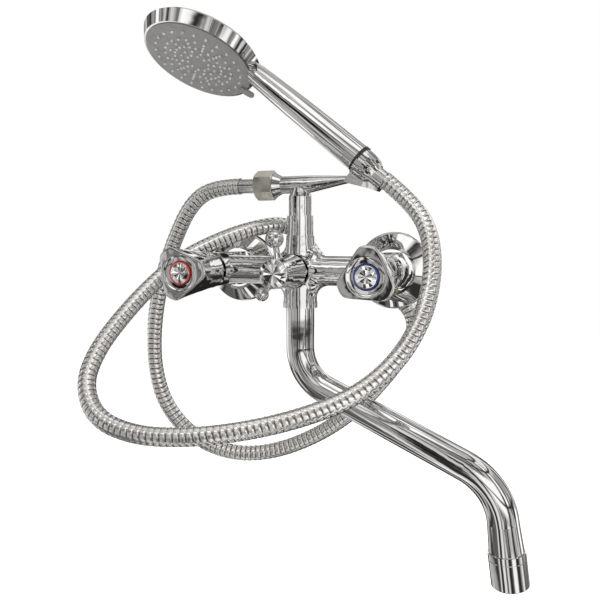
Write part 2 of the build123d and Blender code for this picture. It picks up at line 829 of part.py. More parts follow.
def make_handset():
    """Handle and head of the hand shower, one hollow shell."""
    side = ThreePointArc(
        (grip_r, 0, grip_ring_thick), (grip_middle_r, 0, grip_neck_at / 2), (grip_neck_r, 0, grip_neck_at)
    )
    rest = Polyline(
        (grip_neck_r, 0, grip_neck_at), (grip_bore_r, 0, grip_end_at), (0, 0, grip_end_at),
        (0, 0, grip_ring_thick), (grip_r, 0, grip_ring_thick),
    )
    handle = revolve(make_face(side + rest), Axis.Z)
    handle += rod(cone_thread_r, -cone_thread_length, grip_ring_thick)
    head = turned([
        (0, -face_recess), (head_lip_r, -face_recess), (head_r, -head_rim_depth),
        (head_r - head_edge_round_r, -head_rim_depth - head_edge_round_r),
        (head_crown_r, -head_depth), (0, -head_depth),
    ])
    shell = at_grip() * handle + at_face() * head
    shell -= at_face() * rod(chamber_r, -chamber_depth, 2 * head_depth)
    return shell - at_grip() * rod(grip_bore_r, -cone_thread_length - 1, grip_bore_end)


def make_distributor():
    """Water distributor that fills the head behind the faceplate."""
    front = -face_thick - nozzle_mat_thick
    disc = rod(chamber_r - running_gap, -chamber_depth, front)
    return disc - rod(face_hub_r + running_gap, -face_thick - face_hub_length - free_gap, front + 1)


def nozzle_places():
    """Places of the nozzles on rings about the centre of the face, in line along its radii."""
    places = []
    for ring_r, count in zip(nozzle_ring_radii, nozzle_ring_counts):
        if ring_r + 2 * nozzle_r < nozzle_mat_r:
            turns = [nozzle_ring_turn + 360 * i / count for i in range(count)]
            places += [Rot(0, 0, turn) * Pos(ring_r, 0, 0) for turn in turns]
    return places


def make_faceplate():
    """Round faceplate with a hole for each nozzle and a hub that it turns on."""
    plate = rod(face_r, -face_thick, 0) + rod(face_hub_r, -face_thick - face_hub_length, -face_thick)
    holes = [place * rod(nozzle_r + running_gap, -face_thick - 1, 1) for place in nozzle_places()]
    return plate - holes


def make_nozzle_mat():
    """Soft mat behind the faceplate with a nub through each of its holes."""
    mat = tube(nozzle_mat_r, face_hub_r + running_gap, -face_thick - nozzle_mat_thick, -face_thick)
    nubs = [place * rod(nozzle_r, -face_thick, nozzle_rise) for place in nozzle_places()]
    return mat + nubs


def make_tab():
    """Flat tab on the rim of the faceplate that turns it."""
    root = face_r - tab_root
    tip = face_r + tab_reach - tab_width / 2
    outline = Pos((root + tip) / 2, 0) * Rectangle(tip - root, tab_width)
    outline += Pos(tip, 0) * Circle(tab_width / 2)
    return Rot(0, 0, tab_angle) * extrude(outline, tab_thick)


def bend_radii(route):
    """Radius of each bend of a cord, as large as the two runs beside it allow."""
    radii = []
    for i in range(1, len(route) - 1):
        before = Vector(route[i]) - Vector(route[i - 1])
        after = Vector(route[i + 1]) - Vector(route[i])
        half_turn = math.radians(before.get_angle(after)) / 2
        radii.append(bend_share * min(before.length, after.length) / math.tan(half_turn))
    return radii


def make_hose(points, radii):
    """Ribbed hose along one stretch of its route, straight runs joined by tangent arcs."""
    path = FilletPolyline(*points, radius=radii)
    ribs = round(path.length / rib_pitch)
    rib = ((0, rib_root_r), ((1 - rib_land) / 2, hose_r), ((1 + rib_land) / 2, hose_r))
    steps = [((i + share) / ribs, r) for i in range(ribs) for share, r in rib] + [(1, rib_root_r)]
    # The circles all face one side, so that the ribs don't twist
    side = Plane(points[0], z_dir=path.tangent_at(0)).x_dir
    circles = []
    for share, r in steps:
        along = path.tangent_at(share)
        side = (side - along * side.dot(along)).normalized()
        circles.append(Plane(path.position_at(share), x_dir=side, z_dir=along) * Circle(r))
    bore = sweep(Plane(points[0], z_dir=path.tangent_at(0)) * Circle(hose_bore_r), path)
    return loft(circles, ruled=True) - bore, path.length, ribs


def save_hose():
    """Write the three stretches of the hose, which meet in the middle of straight runs."""
    start = [(at_outlet() * Pos(0, 0, outlet_end + lead)).position for lead in (0, hose_lead)]
    end = [(at_cradle() * Pos(0, 0, -cone_end - lead)).position for lead in (hose_lead, 0)]
    route = start + rear_route + front_route + handset_route + end
    radii = bend_radii(route)
    first_cut = len(rear_route) + 1
    second_cut = first_cut + len(front_route)
    cuts = (0, first_cut, second_cut, len(route) - 1)
    names = ("hose_rear_loop", "hose_front_loop", "hose_handset_end")
    total = 0
    for name, first, last in zip(names, cuts, cuts[1:]):
        points = [Vector(p) for p in route[first:last + 1]]
        if first > 0:
            points[0] = (Vector(route[first]) + Vector(route[first + 1])) / 2
        if last < len(route) - 1:
            points.append((Vector(route[last]) + Vector(route[last + 1])) / 2)
        inner = radii[first:first + len(points) - 2]
        hose, length, ribs = make_hose(points, inner)
        save(name, hose)
        total += length
        print(name, "length", round(length, 1), "ribs", ribs)
        print("volume ratio", round(hose.volume / (rib_section * length), 4))
        print("bend radii", [round(r, 1) for r in inner])
    print("hose length", round(total, 1))


def save_side(side, x, handle_turn, flange_out):
    """Write the pieces of one side: inlet, flange, headwork and handle."""
    here = at_inlet(x)
    turned_here = here * Rot(0, 0, handle_turn)
    save(f"{side}_eccentric", here * make_eccentric())
    save(f"{side}_inlet_washer", here * tube(head_thread_r - free_gap, head_bore_r, washer_back, lip_back))
    save(f"{side}_union_nut", here * make_union_nut())
    save(f"{side}_wall_flange", here * Pos(0, 0, flange_out) * make_flange())
    save(f"{side}_seat_seal", here * tube(seal_r, seal_bore_r, seat_out, fixed_disc_back))
    save(f"{side}_fixed_disc", here * make_disc(cage_bore_r - running_gap, fixed_disc_back))
    save(f"{side}_headwork", here * make_headwork())
    save(f"{side}_moving_disc", turned_here * make_disc(disc_r, moving_disc_back))
    spindle = make_spindle(spindle_flange_front, handle_spindle_front)
    spindle += rod(disc_r, spindle_flange_back, spindle_flange_front)
    save(f"{side}_spindle", turned_here * spindle)
    save(f"{side}_handle", turned_here * make_handle())
    save(f"{side}_handle_screw", turned_here * make_screw(handle_screw_seat))
    save(f"{side}_index_ring", turned_here * make_index_ring())
    save(f"{side}_jewel", turned_here * make_jewel())


def save_diverter():
    """Write the front diverter."""
    here = at_inlet(0)
    save("diverter_gland", here * make_gland(diverter_neck_length, gland_back))
    save("diverter_rotor", here * make_rotor())
    save("diverter_hub", here * make_lever_hub())
    save("diverter_hub_screw", here * make_screw(lever_screw_seat))
    save("diverter_long_lever", here * at_lever(long_angle) * make_lever(long_reach, long_ball_r))
    save("diverter_short_lever", here * at_lever(short_angle) * make_lever(short_reach, short_ball_r))
    save("diverter_cap", here * make_cap())


def save_spout():
    """Write the swivel spout and what holds it."""
    here = at_column()
    tip = here * at_tip()
    save("spout_ring_nut", here * make_ring_nut())
    save("spout_slip_ring", here * make_slip_ring())
    save("spout_upper_o_ring", here * make_o_ring(upper_o_ring_depth))
    save("spout_lower_o_ring", here * make_o_ring(lower_o_ring_depth))
    save("spout_tube", here * make_spout())
    save("aerator_housing", tip * make_aerator_housing())
    seat = aerator_thread_length + aerator_washer_thick
    save("aerator_washer", tip * tube(aerator_thread_r, spout_r - spout_wall, aerator_thread_length, seat))
    save("aerator_insert", tip * make_aerator_insert())


def save_outlet():
    """Write the upper outlet with its cradle and the hose's fittings at both ends."""
    save("riser_and_cradle", make_cradle())
    save("outlet_hose_washer", at_outlet() * make_hose_washer(bar_thread_end))
    save("outlet_hose_nut", at_outlet() * make_hose_nut())
    save("outlet_ferrule", at_outlet() * make_ferrule(outlet_flange_start, outlet_end))
    down = at_cradle() * Rot(180, 0, 0)
    save("cone_ferrule", down * make_ferrule(cone_flange_start, cone_end))
    save("cone_hose_washer", down * make_hose_washer(cone_thread_length))
    save("cone_nut", at_cradle() * make_cone_nut())


def save_hand_shower():
    """Write the hand shower and its spray face."""
    save("handset_shell", make_handset())
    save("grip_ring", at_grip() * tube(grip_ring_r, cone_thread_r + thread_gap, 0, grip_ring_thick))
    save("water_distributor", at_face() * make_distributor())
    save("spray_faceplate", at_face() * make_faceplate())
    save("nozzle_mat", at_face() * make_nozzle_mat())
    save("selector_tab", at_face() * make_tab())


os.makedirs("parts", exist_ok=True)
save("mixer_body", make_body())
save_side("hot", -half_spacing, hot_handle_turn, 0)
save_side("cold", half_spacing, cold_handle_turn, cold_flange_out)
save_diverter()
save_spout()
save_outlet()
save_hose()
save_hand_shower()
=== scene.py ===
import math

import bpy
from mathutils import Matrix, Vector


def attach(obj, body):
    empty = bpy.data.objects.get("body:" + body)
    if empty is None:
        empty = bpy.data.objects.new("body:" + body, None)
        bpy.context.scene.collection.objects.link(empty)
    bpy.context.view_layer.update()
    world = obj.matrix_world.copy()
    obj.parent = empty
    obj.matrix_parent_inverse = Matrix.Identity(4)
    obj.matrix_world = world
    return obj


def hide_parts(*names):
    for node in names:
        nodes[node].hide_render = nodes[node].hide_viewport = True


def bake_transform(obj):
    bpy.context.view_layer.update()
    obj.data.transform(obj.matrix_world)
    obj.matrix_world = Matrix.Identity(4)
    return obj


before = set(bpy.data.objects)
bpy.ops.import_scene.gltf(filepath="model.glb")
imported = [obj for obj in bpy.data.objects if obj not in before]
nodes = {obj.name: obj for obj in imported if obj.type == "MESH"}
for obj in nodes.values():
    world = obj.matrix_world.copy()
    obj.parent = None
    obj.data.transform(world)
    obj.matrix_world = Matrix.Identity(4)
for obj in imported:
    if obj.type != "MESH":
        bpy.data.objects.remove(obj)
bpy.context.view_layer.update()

MM = 0.001


# ---- Camera ----

CAMERA_PLACE = (0.181, -0.548, 0.0315)
CAMERA_TILT = math.radians(84.3)
CAMERA_TURN = math.radians(20.0)
CAMERA_LENS = 37.32
CAMERA_SENSOR = 36.0
CAMERA_NEAR = 0.01
CAMERA_FAR = 50.0


def make_camera():
    """Camera at the photograph's place: to the right of the mixer, looking a little left and down."""
    data = bpy.data.cameras.new("camera")
    data.sensor_width = CAMERA_SENSOR
    data.lens = CAMERA_LENS
    data.clip_start = CAMERA_NEAR
    data.clip_end = CAMERA_FAR
    camera = bpy.data.objects.new("camera", data)
    camera.location = CAMERA_PLACE
    camera.rotation_euler = (CAMERA_TILT, 0.0, CAMERA_TURN)
    bpy.context.scene.collection.objects.link(camera)
    bpy.context.scene.camera = camera


make_camera()


# ---- Small tools ----

SMOOTH_ANGLE = 40
WELD = 1e-6


def deselect():
    """Leave nothing selected."""
    bpy.ops.object.select_all(action="DESELECT")


def only(piece):
    """Make one object the selected and active one."""
    deselect()
    piece.select_set(True)
    bpy.context.view_layer.objects.active = piece


def smooth(piece, angle=SMOOTH_ANGLE):
    """Shade a piece smooth, apart from edges sharper than an angle in degrees."""
    only(piece)
    bpy.ops.object.shade_smooth_by_angle(angle=math.radians(angle))


def apply_modifiers(piece):
    """Turn what a piece's modifiers show into its own mesh."""
    only(piece)
    for modifier in list(piece.modifiers):
        bpy.ops.object.modifier_apply(modifier=modifier.name)


def bevel(piece, width, segments, angle):
    """Round every edge that is sharper than an angle in degrees."""
    modifier = piece.modifiers.new("bevel", "BEVEL")
    modifier.width = width
    modifier.segments = segments
    modifier.limit_method = "ANGLE"
    modifier.angle_limit = math.radians(angle)
    modifier.use_clamp_overlap = True
    apply_modifiers(piece)


def put(piece, place):
    """Move a piece that was made about the origin to its place, and keep the place in its mesh."""
    only(piece)
    piece.matrix_world = place
    bpy.ops.object.transform_apply(location=True, rotation=True, scale=True)


def weld(distance):
    """Join points that lie within a distance of each other in the mesh being edited, and stop editing."""
    bpy.ops.mesh.select_all(action="SELECT")
    bpy.ops.mesh.remove_doubles(threshold=distance)
    bpy.ops.mesh.normals_make_consistent(inside=False)
    bpy.ops.object.mode_set(mode="OBJECT")


def facing(place, out):
    """Place of a shape whose Z is to point out along a direction."""
    return Matrix.Translation(place) @ out.to_track_quat("Z", "Y").to_matrix().to_4x4()


def lathe(name, profile, segments):
    """Turn (radius, height) pairs in millimetres about Z: a disc whose rim is extruded and resized.

    The profile starts on Z with a flat disc and ends on Z.
    """
    (r, h), *rest = profile[1:]
    deselect()
    bpy.ops.mesh.primitive_circle_add(
        vertices=segments, radius=r * MM, location=(0, 0, h * MM), fill_type="TRIFAN",
    )
    piece = bpy.context.object
    piece.name = name
    bpy.ops.object.transform_apply(location=True, rotation=True, scale=True)
    bpy.ops.object.mode_set(mode="EDIT")
    bpy.ops.mesh.select_mode(type="EDGE")
    bpy.ops.mesh.select_all(action="DESELECT")
    bpy.ops.mesh.select_non_manifold()
    for next_r, next_h in rest:
        bpy.ops.mesh.extrude_edges_move(TRANSFORM_OT_translate={"value": (0, 0, (next_h - h) * MM)})
        if next_r == 0:
            bpy.ops.mesh.merge(type="CENTER")
        elif next_r != r:
            k = next_r / r
            bpy.ops.transform.resize(value=(k, k, 1), center_override=(0, 0, next_h * MM))
        r, h = next_r, next_h
    weld(WELD)
    return piece


def add(piece, body, slot, *replaced):
    """Let a piece ride on its body and hide the nodes that it stands for; its slot is not used."""
    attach(piece, body)
    if replaced:
        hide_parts(*replaced)


def paint(piece, material):
    """Give a piece one material in place of what it has."""
    piece.data.materials.clear()
    piece.data.materials.append(material)
    return piece


# ---- Materials ----

# How much finer the changes of gloss are than the patches of colour on metal, and the scales on plastic
GLOSS_FINER = 2.7
MOTTLE_SCALE = 160.0
PLASTIC_GLOSS_SCALE = 420.0

# Detail of each noise
COLOUR_DETAIL = 4.0
METAL_GLOSS_DETAIL, METAL_SKIN_DETAIL = 6.0, 2.0
STRIP_GLOSS_DETAIL = 5.0
PLASTIC_GLOSS_DETAIL, PLASTIC_SKIN_DETAIL = 5.0, 3.0
CLEAR_GLOSS_DETAIL = 3.0
STREAK_DETAIL = 3.0

COAT_ROUGHNESS = 0.05
# Painted shade: near-black colour laid into the hose's groove, where the turns shade each other
GROOVE_SHADE_COLOUR = (0.035, 0.033, 0.030, 1)


def new_material(name):
    """New material with its node tree and its shader."""
    material = bpy.data.materials.new(name)
    material.use_nodes = True
    tree = material.node_tree
    return material, tree, tree.nodes["Principled BSDF"]


def noise(tree, scale, detail):
    """Noise on Object coordinates."""
    coordinates = tree.nodes.new("ShaderNodeTexCoord")
    texture = tree.nodes.new("ShaderNodeTexNoise")
    texture.inputs["Scale"].default_value = scale
    texture.inputs["Detail"].default_value = detail
    tree.links.new(coordinates.outputs["Object"], texture.inputs["Vector"])
    return texture.outputs["Fac"]


def spread(tree, value, low, high, start=0.35, end=0.65, steps="LINEAR"):
    """Map a value to a range; start and end suit the middle part of a noise."""
    ranged = tree.nodes.new("ShaderNodeMapRange")
    ranged.interpolation_type = steps
    ranged.inputs["From Min"].default_value = start
    ranged.inputs["From Max"].default_value = end
    ranged.inputs["To Min"].default_value = low
    ranged.inputs["To Max"].default_value = high
    tree.links.new(value, ranged.inputs["Value"])
    return ranged.outputs["Result"]


def feed(tree, socket, value):
    """Link a socket to another node's output, or give it a value."""
    if isinstance(value, bpy.types.NodeSocket):
        tree.links.new(value, socket)
    else:
        socket.default_value = value


def calculate(tree, operation, *values):
    """Result of a Math node on values or outputs."""
    node = tree.nodes.new("ShaderNodeMath")
    node.operation = operation
    for socket, value in zip(node.inputs, values):
        feed(tree, socket, value)
    return node.outputs[0]


# Places of a Mix node's two inputs and of its output, by kind of data
MIX_SOCKETS = {"FLOAT": (2, 3, 0), "RGBA": (6, 7, 2)}


def mixed(tree, kind, share, first, second):
    """Mix two colours or two numbers by a share."""
    node = tree.nodes.new("ShaderNodeMix")
    node.data_type = kind
    first_in, second_in, out = MIX_SOCKETS[kind]
    feed(tree, node.inputs[0], share)
    feed(tree, node.inputs[first_in], first)
    feed(tree, node.inputs[second_in], second)
    return node.outputs[out]


def tint(tree, scale, dark, light):
    """Patches of two colours that run into each other."""
    patches = spread(tree, noise(tree, scale, COLOUR_DETAIL), 0, 1)
    return mixed(tree, "RGBA", patches, (*dark, 1), (*light, 1))


def gloss(tree, shader, scale, detail, rough_low, rough_high):
    """Roughness that changes in patches."""
    rough = spread(tree, noise(tree, scale, detail), rough_low, rough_high)
    tree.links.new(rough, shader.inputs["Roughness"])


def skin(tree, shader, scale, detail, height):
    """Uneven skin of a height in metres."""
    node = tree.nodes.new("ShaderNodeBump")
    node.inputs["Distance"].default_value = height
    tree.links.new(noise(tree, scale, detail), node.inputs["Height"])
    tree.links.new(node.outputs["Normal"], shader.inputs["Normal"])


def metal(name, dark, light, rough_low, rough_high, grain, grain_scale, patch_scale=30.0):
    """Polished or plated metal: slight changes of colour and gloss, and the skin of the casting below."""
    material, tree, shader = new_material(name)
    shader.inputs["Metallic"].default_value = 1.0
    tree.links.new(tint(tree, patch_scale, dark, light), shader.inputs["Base Color"])
    gloss(tree, shader, patch_scale * GLOSS_FINER, METAL_GLOSS_DETAIL, rough_low, rough_high)
    skin(tree, shader, grain_scale, METAL_SKIN_DETAIL, grain)
    return material


def plastic(name, dark, light, rough_low, rough_high, grain=0.00004, grain_scale=900.0, coat=0.0):
    """Moulded plastic or rubber: slight mottling and a fine skin."""
    material, tree, shader = new_material(name)
    tree.links.new(tint(tree, MOTTLE_SCALE, dark, light), shader.inputs["Base Color"])
    gloss(tree, shader, PLASTIC_GLOSS_SCALE, PLASTIC_GLOSS_DETAIL, rough_low, rough_high)
    shader.inputs["Coat Weight"].default_value = coat
    shader.inputs["Coat Roughness"].default_value = COAT_ROUGHNESS
    skin(tree, shader, grain_scale, PLASTIC_SKIN_DETAIL, grain)
    return material


def clear_plastic(name, colour, refraction, rough_low, rough_high, gloss_scale):
    """Clear moulded plastic."""
    material, tree, shader = new_material(name)
    shader.inputs["Base Color"].default_value = (*colour, 1)
    shader.inputs["Transmission Weight"].default_value = 1.0
    shader.inputs["IOR"].default_value = refraction
    gloss(tree, shader, gloss_scale, CLEAR_GLOSS_DETAIL, rough_low, rough_high)
    return material


def banded_steel(name, dark, light, rough_low, rough_high, patch_scale, gloss_scale):
    """Steel strip of the hose, with painted shade where its turns lock into each other."""
    material, tree, shader = new_material(name)
    shader.inputs["Metallic"].default_value = 1.0
    # Painted shade in the groove, where the mesh marks it
    groove_shade = tree.nodes.new("ShaderNodeAttribute")
    groove_shade.attribute_name = "groove_shade"
    strip = tint(tree, patch_scale, dark, light)
    steel = mixed(tree, "RGBA", groove_shade.outputs["Fac"], strip, GROOVE_SHADE_COLOUR)
    tree.links.new(steel, shader.inputs["Base Color"])
    gloss(tree, shader, gloss_scale, STRIP_GLOSS_DETAIL, rough_low, rough_high)
    return material


# Most have their darkest and lightest colour, their least and greatest roughness, then the height and scale
# of their skin
finish = {
    "cast_chrome": metal("cast chrome", (0.66, 0.66, 0.66), (0.75, 0.75, 0.748), 0.02, 0.05, 0.0004, 85.0),
    "tube_chrome": metal("tube chrome", (0.69, 0.69, 0.69), (0.77, 0.77, 0.768), 0.015, 0.04, 0.0002, 45.0),
    "plated_plastic": metal(
        "plated plastic", (0.67, 0.668, 0.665), (0.74, 0.738, 0.735), 0.015, 0.035, 0.0002, 40.0,
    ),
    "hose_steel": banded_steel(
        "hose steel", (0.91, 0.895, 0.87), (0.98, 0.975, 0.96), 0.20, 0.28, patch_scale=45.0,
        gloss_scale=150.0,
    ),
    "ferrule_steel": metal(
        "ferrule steel", (0.76, 0.745, 0.715), (0.86, 0.85, 0.825), 0.12, 0.22, 0.00003, 500.0,
        patch_scale=60.0,
    ),
    "nickel": metal("nickel plate", (0.80, 0.765, 0.69), (0.90, 0.87, 0.80), 0.24, 0.36, 0.00003, 300.0),
    "brass": metal("machined brass", (0.60, 0.44, 0.20), (0.74, 0.57, 0.29), 0.18, 0.34, 0.00004, 600.0),
    "steel": metal("screw steel", (0.50, 0.50, 0.51), (0.64, 0.64, 0.65), 0.22, 0.38, 0.00003, 600.0),
    "rubber": plastic(
        "black rubber", (0.018, 0.018, 0.018), (0.034, 0.034, 0.034), 0.55, 0.75, 0.00006, 700.0,
    ),
    "ceramic": plastic("lapped ceramic", (0.78, 0.77, 0.73), (0.84, 0.83, 0.80), 0.18, 0.30, 0.00001),
    "white_plastic": plastic("white plastic", (0.74, 0.74, 0.72), (0.82, 0.82, 0.80), 0.35, 0.5),
    "grey_plastic": plastic(
        "grey plastic", (0.255, 0.252, 0.245), (0.30, 0.297, 0.29), 0.34, 0.46, 0.00003, 1300.0,
    ),
    "black_plastic": plastic("black plastic", (0.010, 0.010, 0.010), (0.020, 0.020, 0.020), 0.40, 0.52),
    "red_plastic": plastic(
        "red plastic", (0.34, 0.022, 0.016), (0.46, 0.040, 0.028), 0.2, 0.34, 0.00002, 900.0, coat=0.5,
    ),
    "blue_plastic": plastic(
        "blue plastic", (0.022, 0.035, 0.145), (0.036, 0.056, 0.215), 0.2, 0.34, 0.00002, 900.0, coat=0.5,
    ),
    "clear": clear_plastic("clear plastic", (0.95, 0.96, 0.97), 1.49, 0.01, 0.05, gloss_scale=200.0),
    "mirrored_jewel": metal(
        "mirrored jewel", (0.80, 0.80, 0.79), (0.90, 0.90, 0.89), 0.02, 0.05, 0.0001, 200.0,
    ),
    "silicone": plastic("silicone", (0.70, 0.70, 0.69), (0.80, 0.80, 0.79), 0.42, 0.58, 0.00004, 900.0),
}

cad_finish = {
    "cast_chrome": [
        "mixer_body", "hot_union_nut", "cold_union_nut", "hot_headwork", "cold_headwork", "hot_handle",
        "cold_handle", "diverter_gland", "diverter_hub", "diverter_long_lever", "diverter_short_lever",
        "diverter_cap", "spout_ring_nut", "riser_and_cradle", "cone_nut",
    ],
    "tube_chrome": ["spout_tube", "aerator_housing", "hot_wall_flange", "cold_wall_flange"],
    "plated_plastic": ["handset_shell"],
    "hose_steel": ["hose_rear_loop", "hose_front_loop", "hose_handset_end"],
    "ferrule_steel": ["outlet_ferrule", "cone_ferrule"],
    "nickel": ["outlet_hose_nut"],
    "brass": ["hot_eccentric", "cold_eccentric", "hot_spindle", "cold_spindle", "diverter_rotor"],
    "steel": ["hot_handle_screw", "cold_handle_screw", "diverter_hub_screw"],
    "rubber": [
        "hot_inlet_washer", "cold_inlet_washer", "hot_seat_seal", "cold_seat_seal", "spout_upper_o_ring",
        "spout_lower_o_ring", "aerator_washer", "outlet_hose_washer", "cone_hose_washer",
    ],
    "ceramic": ["hot_fixed_disc", "cold_fixed_disc", "hot_moving_disc", "cold_moving_disc"],
    "white_plastic": ["spout_slip_ring", "aerator_insert", "water_distributor"],
    "grey_plastic": ["spray_faceplate", "selector_tab"],
    "black_plastic": ["grip_ring"],
    "red_plastic": ["hot_index_ring"],
    "blue_plastic": ["cold_index_ring"],
    "clear": ["hot_jewel", "cold_jewel"],
    "silicone": ["nozzle_mat"],
}
for key, names in cad_finish.items():
    for node_name in names:
        paint(nodes[node_name], finish[key])


# ---- Hose: a spiral of interlocked steel strip, close to the route of the solids ----

HOSE_R = 7.0
HOSE_GROOVE = 0.7
HOSE_PITCH = 4.8
HOSE_AROUND = 32
ROUTE_STEPS = 24
ROUTE_ORDER = 3

# Profile of the strip, in shares of one turn: it rises out of the groove, has its crown, and falls back. The
# camber is the crown's height in millimetres.
# Share of each turn, from the groove's start, that gets painted shade
STRIP_SHADE_SHARE = 0.12
STRIP_RISE = 0.14
STRIP_CROWN = 0.54
STRIP_FALL = 0.94
STRIP_CAMBER = 0.03
STRIP_SHARES = (0.0, 0.05, 0.10, STRIP_RISE, 0.34, STRIP_CROWN, 0.74, STRIP_FALL)

hose_route = [
    (-54.8, -50, 76.1), (-81.8, -50, 76.1),
    (-106, -48, 62), (-126, -45, 29), (-141, -45, -9), (-149, -46, -50), (-149, -47, -92),
    (-137, -47, -128), (-110, -44, -156), (-74, -38, -170), (-36, -29, -167), (2, -22, -151),
    (36, -18, -127), (62, -17, -98), (81, -15.5, -72), (91.5, -13, -53), (91, -10.2, -36),
    (79, -8.3, -21.6), (60.6, -9.2, -14.6), (37, -9.5, -4.6), (13.4, -10.2, 0.9),
    (-2.5, -11.4, 18.3), (-10.6, -19.5, 36.4), (-25.3, -30.3, 44.2), (-50, -46, 39),
    (-79, -55, 27.7), (-105, -68, 13), (-121, -94, -10), (-131, -123, -35), (-136, -149, -59),
    (-132, -168.5, -81), (-111, -181, -101), (-78, -182, -109), (-42, -175, -109),
    (-4, -164, -104), (34, -149, -95), (70, -132, -81), (97, -113, -57), (112, -94, -26),
    (116, -78, 7), (110, -62, 38), (92.694, -50, 60.738), (71.801, -50, 77.839),
]
hose_split = Vector((114, -86, -9.5)) * MM


def route_line(points):
    """Centre line that a NURBS spline draws from the route's points."""
    curve = bpy.data.curves.new("hose route", "CURVE")
    curve.dimensions = "3D"
    curve.resolution_u = ROUTE_STEPS
    spline = curve.splines.new("NURBS")
    spline.points.add(len(points) - 1)
    for point, place in zip(spline.points, points):
        point.co = (place[0] * MM, place[1] * MM, place[2] * MM, 1)
    spline.order_u = ROUTE_ORDER
    spline.use_endpoint_u = True
    holder = bpy.data.objects.new("hose route", curve)
    bpy.context.scene.collection.objects.link(holder)
    bpy.context.view_layer.update()
    mesh = bpy.data.meshes.new_from_object(holder)
    line = [v.co.copy() for v in mesh.vertices]
    bpy.data.objects.remove(holder)
    bpy.data.meshes.remove(mesh)
    return line


def line_lengths(line):
    """Distance along a line of each of its points."""
    lengths = [0.0]
    for a, b in zip(line, line[1:]):
        lengths.append(lengths[-1] + (b - a).length)
    return lengths


def steady_frames(line):
    """Direction and a side direction at each point of a line, with no twist between points."""
    directions = []
    for i in range(len(line)):
        a, b = line[max(i - 1, 0)], line[min(i + 1, len(line) - 1)]
        directions.append((b - a).normalized())
    side = directions[0].orthogonal().normalized()
    frames = []
    for direction in directions:
        side = (side - direction * side.dot(direction)).normalized()
        frames.append((direction, side))
    return frames


def strip_radius(turn):
    """Radius of the strip hose in millimetres at a share of one turn of its spiral."""
    share = turn % 1.0
    if share < STRIP_RISE:
        return HOSE_R - HOSE_GROOVE * math.cos(share / STRIP_RISE * math.pi / 2)
    if share > STRIP_FALL:
        return HOSE_R - HOSE_GROOVE * (share - STRIP_FALL) / (1 - STRIP_FALL)
    return HOSE_R - STRIP_CAMBER * ((share - STRIP_CROWN) / (STRIP_FALL - STRIP_CROWN)) ** 2


def strip_hose(name, line):
    """Strip-wound hose along a line, whose mesh follows the spiral and marks its groove for painted shade.
    """
    lengths = line_lengths(line)
    frames = steady_frames(line)
    total = lengths[-1]
    turns = int(total / (HOSE_PITCH * MM)) + 2
    steps = [i - 1 + share for i in range(turns) for share in STRIP_SHARES]
    points, faces, dark = [], [], []
    at = 0
    for step in steps:
        for column in range(HOSE_AROUND):
            turn = step + column / HOSE_AROUND
            s = min(max(turn * HOSE_PITCH * MM, 0.0), total)
            while at < len(lengths) - 2 and lengths[at + 1] < s:
                at += 1
            while at > 0 and lengths[at] > s:
                at -= 1
            share = (s - lengths[at]) / (lengths[at + 1] - lengths[at])
            direction = frames[at][0].lerp(frames[at + 1][0], share).normalized()
            side = frames[at][1].lerp(frames[at + 1][1], share)
            side = (side - direction * side.dot(direction)).normalized()
            up = direction.cross(side)
            angle = 2 * math.pi * column / HOSE_AROUND
            r = strip_radius(turn) * MM
            centre = line[at].lerp(line[at + 1], share)
            points.append(centre + side * (math.cos(angle) * r) + up * (math.sin(angle) * r))
            # Points in the groove get painted shade
            dark.append(1.0 if turn % 1.0 < STRIP_SHADE_SHARE else 0.0)
    rows = len(steps)
    lift = len(STRIP_SHARES)
    for row in range(rows - 1):
        for column in range(HOSE_AROUND):
            a = row * HOSE_AROUND + column
            b = a + HOSE_AROUND
            if column < HOSE_AROUND - 1:
                faces.append((a, a + 1, b + 1, b))
            elif row + 1 + lift < rows:
                c = (row + lift) * HOSE_AROUND
                faces.append((a, c, c + HOSE_AROUND, b))
    mesh = bpy.data.meshes.new(name)
    mesh.from_pydata(points, [], faces)
    mesh.attributes.new("groove_shade", "FLOAT", "POINT").data.foreach_set("value", dark)
    piece = bpy.data.objects.new(name, mesh)
    bpy.context.scene.collection.objects.link(piece)
    only(piece)
    bpy.ops.object.mode_set(mode="EDIT")
    weld(2 * WELD)
    smooth(piece)
    return paint(piece, finish["hose_steel"])


hose_line = route_line(hose_route)
cut = min(range(len(hose_line)), key=lambda i: (hose_line[i] - hose_split).length)
main_line, end_line = hose_line[:cut + 1], hose_line[cut:]
hose = strip_hose("hose", main_line)
add(hose, "body", "chrome", "hose_rear_loop", "hose_front_loop")
hose_end = strip_hose("hose_end", end_line)
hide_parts("hose_handset_end")
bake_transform(hose_end)


# ---- Tap handles: three-sided, with round corners and a dished front ----

HANDLE_BACK = 76.0
HANDLE_LENGTH = 46.0
HANDLE_FLAT = 16.4
HANDLE_SIDES = 3
HANDLE_ROUNDING = 3
HANDLE_SMOOTH_ANGLE = 50

# Heights between which the flats are pressed, and how much nearer to the axis than HANDLE_FLAT
FLAT_ROWS = ((95, 121.5, 0), (121.5, 121.95, 0.35), (121.95, 123, 1.2))

# Hollow in the middle of each flat
HOLLOW_LOW, HOLLOW_HIGH = 98, 120
HOLLOW_HALF_WIDTH = 5
HOLLOW_DEPTH = 0.7

# The handle's flare: radius at the back, its slope and its bend, and how the length is cut into rows
FLARE_R, FLARE_SLOPE, FLARE_BEND = 16.15, -0.1, 6.9
FLARE_ROWS = 10
FLARE_LENGTH_ROWS = 10.6

BUTTON_EDGE = 0.08
BUTTON_EDGE_ANGLE = 12

TAP_X = 75
TAP_HEIGHT = 4


def select_where(piece, test):
    """Select the vertices whose place in millimetres passes a test."""
    only(piece)
    bpy.ops.object.mode_set(mode="EDIT")
    bpy.ops.mesh.select_mode(type="VERT")
    bpy.ops.mesh.select_all(action="DESELECT")
    bpy.ops.object.mode_set(mode="OBJECT")
    for vertex in piece.data.vertices:
        vertex.select = test(vertex.co / MM)
    bpy.ops.object.mode_set(mode="EDIT")


